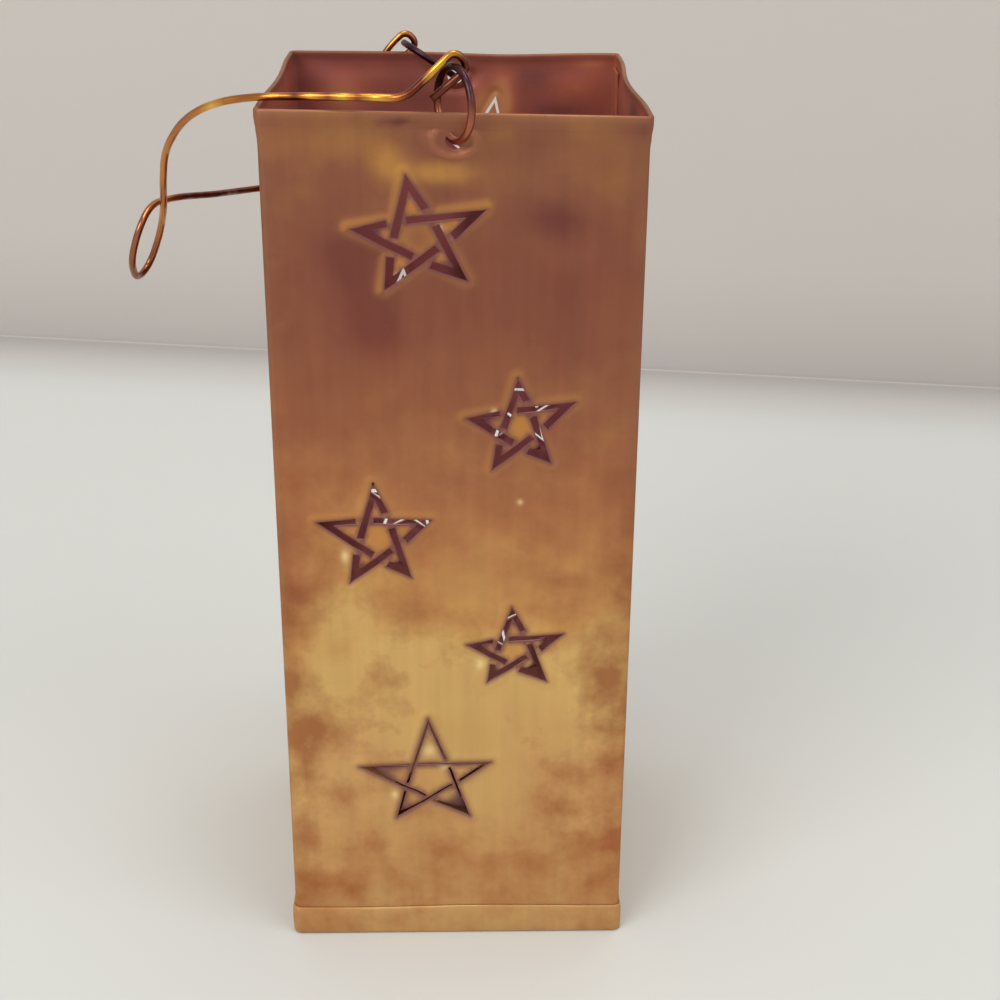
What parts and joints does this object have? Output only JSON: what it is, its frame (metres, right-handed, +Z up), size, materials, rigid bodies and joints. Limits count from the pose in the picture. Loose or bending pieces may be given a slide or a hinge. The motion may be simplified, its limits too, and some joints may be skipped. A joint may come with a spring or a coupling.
{
  "type": "punched tin lantern",
  "caption": "Square open-topped candle lantern of punched sheet copper, with interlaced star slits, a shallow base pan, a candle cup and a wire bail hooked to jump rings.",
  "frame": {"origin": "centre of the base pan's underside, on the table", "axes": "+Z up through the open top, -Y out of the front wall, +X to the right as seen from the front"},
  "size_m": [0.1303, 0.1067, 0.2409],
  "materials": {
    "body_sheet": "aged copper sheet, satin, blotchy patina",
    "pan_sheet": "aged copper sheet, satin",
    "cup_sheet": "aged copper sheet, satin",
    "rivets": "dull copper",
    "ring_wire": "tarnished copper wire",
    "handle_wire": "bright copper wire with darker tarnish"
  },
  "bodies": {
    "lantern": {"wrapped_body": "body_sheet", "base_pan": "pan_sheet", "candle_cup": "cup_sheet", "cup_rivet": "rivets", "seam_rivets": "rivets"},
    "front_ring": {"front_ring": "ring_wire"},
    "rear_ring": {"rear_ring": "ring_wire"},
    "handle": {"wire_handle": "handle_wire"}
  },
  "joints": [
    {"name": "front_ring_lean", "type": "hinge", "parent": "lantern", "child": "front_ring", "pos_m": [0, -0.0447, 0.2208], "axis": [0, 1, 0], "range_deg": [0, 45]},
    {"name": "rear_ring_lean", "type": "hinge", "parent": "lantern", "child": "rear_ring", "pos_m": [0, 0.0447, 0.2208], "axis": [0, 1, 0], "range_deg": [0, 45]},
    {"name": "handle_swing", "type": "hinge", "parent": "front_ring", "child": "handle", "pos_m": [0, -0.0447, 0.2374], "axis": [-0.146, 0.9854, -0.0876], "range_deg": [0, 152]}
  ],
  "couplings": [
    {"joint": "front_ring_lean", "follows": "handle_swing", "ratio": 0.296},
    {"joint": "rear_ring_lean", "follows": "handle_swing", "ratio": 0.296}
  ]
}
